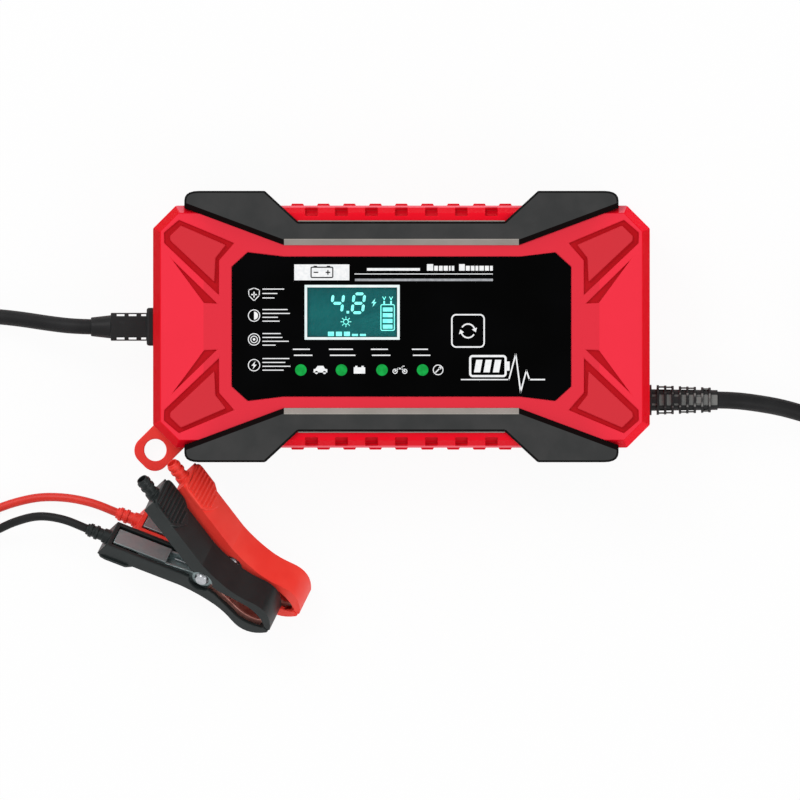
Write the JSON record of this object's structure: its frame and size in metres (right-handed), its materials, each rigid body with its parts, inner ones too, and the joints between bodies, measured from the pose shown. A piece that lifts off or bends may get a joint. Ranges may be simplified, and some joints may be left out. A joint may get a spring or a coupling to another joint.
{
  "type": "car battery charger",
  "caption": "Flat red car battery charger with corner bumpers, a display panel with a key and status lamps, a hanging ear, a coiled mains cord and two spring clamps on a coiled output cord.",
  "frame": {"origin": "middle of the housing's footprint on the surface that the flat back rests on", "axes": "+X to the mains cord, +Y to the top edge of the panel, +Z out of the panel"},
  "size_m": [0.5413, 0.155, 0.0483],
  "materials": {
    "red_plastic": "satin moulded",
    "bumper_plastic": "dark grained moulding",
    "ear_plastic": "satin moulded",
    "grey_trim": "satin moulded",
    "panel_black": "gloss printed film",
    "bezel_white": "gloss printed",
    "lcd_glass": "clear",
    "lcd_cell": "backlit cell",
    "lamp_green": "tinted lens",
    "board_green": "solder mask",
    "chip_black": "moulded",
    "steel": "zinc plated",
    "spring_steel": "drawn wire",
    "copper_jaw": "copper plated steel",
    "alu": "mill",
    "ferrite": "sintered",
    "winding": "taped winding",
    "cap_sleeve": "sleeved can",
    "relay_blue": "moulded",
    "fuse_glass": "clear",
    "cord_black": "extruded",
    "cord_red": "extruded",
    "grip_red": "soft vinyl",
    "grip_black": "soft vinyl",
    "plug_black": "moulded",
    "brass_pin": "nickel plated",
    "tie_black": "hook and loop"
  },
  "bodies": {
    "charger": {"rear_shell": "red_plastic", "front_shell": "red_plastic", "upper_bumper": "bumper_plastic", "lower_bumper": "bumper_plastic", "upper_trim_strip": "grey_trim", "lower_trim_strip": "grey_trim", "front_panel": "panel_black", "lcd_bezel": "bezel_white", "lcd_glass": "lcd_glass", "lcd_module": "lcd_cell", "led_lenses": "lamp_green", "status_leds": "chip_black", "tact_switch": "chip_black", "display_board": "board_green", "display_screws": "steel", "board_link": "chip_black", "main_board": "board_green", "board_screws": "steel", "transformer_core": "ferrite", "transformer_winding": "winding", "filter_capacitors": "cap_sleeve", "line_choke": "ferrite", "heat_sinks": "alu", "power_transistors": "chip_black", "bridge_rectifier": "chip_black", "fuse": "fuse_glass", "output_relay": "relay_blue", "housing_screws": "steel", "mains_strain_relief": "plug_black", "mains_cord": "cord_black", "mains_cord_coil": "cord_black", "mains_cord_tie": "tie_black", "mains_plug_body": "plug_black", "mains_plug_pins": "brass_pin", "output_strain_relief": "plug_black", "output_cord": "cord_black", "output_cord_coil": "cord_black", "output_cord_tie": "tie_black", "split_boot": "plug_black", "red_lead": "cord_red", "black_lead": "cord_black", "red_lower_grip": "grip_red", "red_lower_jaw": "copper_jaw", "red_pivot_pin": "steel", "red_spring": "spring_steel", "black_lower_grip": "grip_black", "black_lower_jaw": "copper_jaw", "black_pivot_pin": "steel", "black_spring": "spring_steel"},
    "mode_button": {"mode_button": "panel_black"},
    "hanging_ear": {"hanging_ear": "ear_plastic"},
    "red_lever": {"red_upper_grip": "grip_red", "red_upper_jaw": "copper_jaw"},
    "black_lever": {"black_upper_grip": "grip_black", "black_upper_jaw": "copper_jaw"}
  },
  "joints": [
    {"name": "mode_key", "type": "slide", "parent": "charger", "child": "mode_button", "axis": [0, 0, -1], "range_m": [0, 0.0006], "stiffness_N_per_m": 800, "springref_m": -0.0005},
    {"name": "ear_slide", "type": "slide", "parent": "charger", "child": "hanging_ear", "axis": [0.7071, 0.7071, 0], "range_m": [0, 0.011]},
    {"name": "red_clamp", "type": "hinge", "parent": "charger", "child": "red_lever", "pos_m": [-0.0582, -0.0798, 0.0138], "axis": [0.3335, 0.6763, -0.6568], "range_deg": [-26, 0], "stiffness_Nm_per_rad": 0.15, "springref_deg": 8.02, "deforming": ["red_spring"]},
    {"name": "black_clamp", "type": "hinge", "parent": "charger", "child": "black_lever", "pos_m": [-0.0686, -0.0854, 0.0234], "axis": [0.3335, 0.6763, -0.6568], "range_deg": [-26, 0], "stiffness_Nm_per_rad": 0.15, "springref_deg": 8.02, "deforming": ["black_spring"]}
  ]
}
